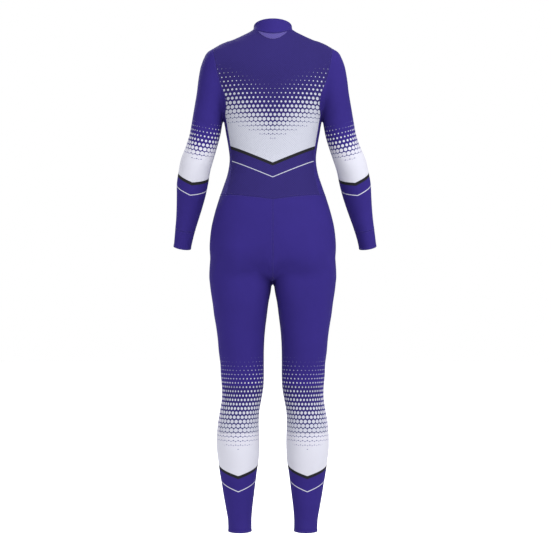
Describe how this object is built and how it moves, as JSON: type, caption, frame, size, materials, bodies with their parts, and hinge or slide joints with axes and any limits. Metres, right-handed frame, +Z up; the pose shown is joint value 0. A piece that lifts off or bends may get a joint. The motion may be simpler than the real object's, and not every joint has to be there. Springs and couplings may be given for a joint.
{
  "type": "ski race suit",
  "caption": "One-piece stretch race suit with long sleeves, a low standing collar, a front zip and mesh panels at the back and behind the knees, held open as it is worn.",
  "frame": {"origin": "centre of the neck base, level with the collar seam at the centre back, where the wearer's neck and shoulders carry the suit", "axes": "+Z up along the standing body, -Y out of the suit's front, +Y out of its back, +X to the wearer's left"},
  "size_m": [0.562, 0.2459, 1.4011],
  "materials": {
    "plain_knit": "smooth stretch knit, slightly shiny",
    "mesh_knit": "fine hexagonal mesh knit, matt",
    "light_mesh": "open mesh knit, lighter, matt",
    "zip_tape": "woven tape with moulded teeth, black",
    "zip_metal": "dark plated zinc"
  },
  "bodies": {
    "suit": {"back_panel": "mesh_knit", "front_l": "plain_knit", "front_r": "plain_knit", "side_panel_l": "plain_knit", "side_panel_r": "plain_knit", "collar": "plain_knit", "neck_half_moon": "light_mesh", "sleeve_l": "plain_knit", "sleeve_r": "plain_knit", "cuff_l": "plain_knit", "cuff_r": "plain_knit", "trouser_l": "plain_knit", "trouser_r": "plain_knit", "knee_insert_l": "mesh_knit", "knee_insert_r": "mesh_knit", "lower_leg_l": "plain_knit", "lower_leg_r": "plain_knit", "zip_tape_l": "zip_tape", "zip_tape_r": "zip_tape", "zip_slider": "zip_metal"},
    "pull_tab": {"zip_pull": "zip_metal"}
  },
  "joints": [
    {"name": "pull_swing", "type": "hinge", "parent": "suit", "child": "pull_tab", "pos_m": [0, -0.06078, -0.00145], "axis": [-1, 0, 0], "range_deg": [0, 150]}
  ]
}
